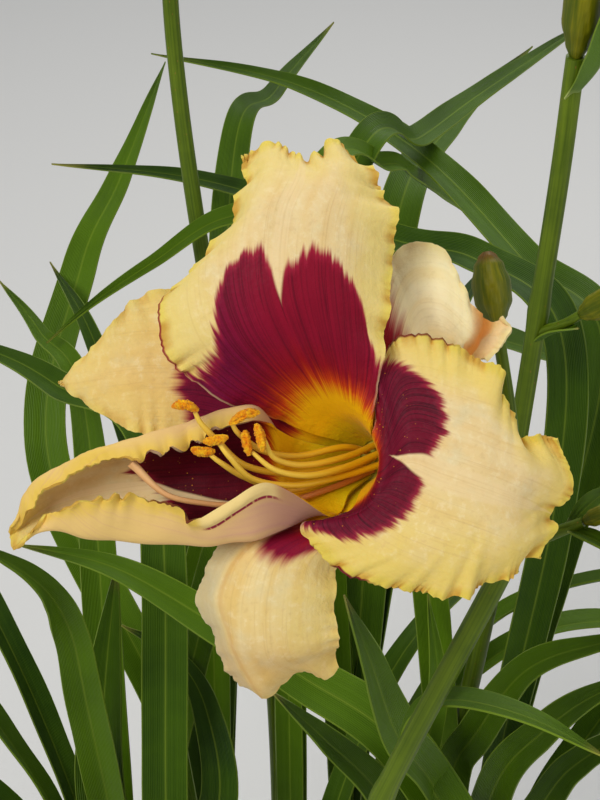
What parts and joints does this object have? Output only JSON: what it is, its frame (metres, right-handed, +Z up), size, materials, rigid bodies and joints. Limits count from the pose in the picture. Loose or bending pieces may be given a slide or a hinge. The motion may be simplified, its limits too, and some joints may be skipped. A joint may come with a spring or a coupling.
{
  "type": "daylily plant in pot",
  "caption": "Daylily with arching strap leaves in fans, branching flower stems with buds and an open bloom with a dark eye, in a plain round nursery pot.",
  "frame": {"origin": "centre of the flat underside of the pot", "axes": "+Z up along the axis of the pot, -Y towards the side that the open bloom faces, +X to the right seen from that side"},
  "size_m": [0.7308, 0.7197, 0.8168],
  "materials": {
    "pot": "satin",
    "soil": "matte",
    "leaf": "satin",
    "scape": "satin",
    "bud": "satin",
    "petal": "satin",
    "sepal": "satin",
    "stamen": "matte",
    "pistil": "satin"
  },
  "bodies": {
    "root": {"pot": "pot", "soil": "soil", "fan_front_left": "leaf", "fan_front_right": "leaf", "fan_right": "leaf", "fan_middle": "leaf", "fan_left": "leaf", "fan_back_right": "leaf", "fan_back_left": "leaf", "scape_main": "scape", "scape_right": "scape", "scape_left": "scape", "floral_tube": "scape", "bud_main": "bud", "bud_tip": "bud", "bud_right_top": "bud", "bud_right_side": "bud", "bud_left_top": "bud", "bud_left_side": "bud", "petal_top": "petal", "petal_right": "petal", "petal_left": "petal", "sepal_upper_left": "sepal", "sepal_upper_right": "sepal", "sepal_lower": "sepal", "stamen_1": "stamen", "stamen_2": "stamen", "stamen_3": "stamen", "stamen_4": "stamen", "stamen_5": "stamen", "stamen_6": "stamen", "pistil": "pistil"}
  },
  "joints": []
}
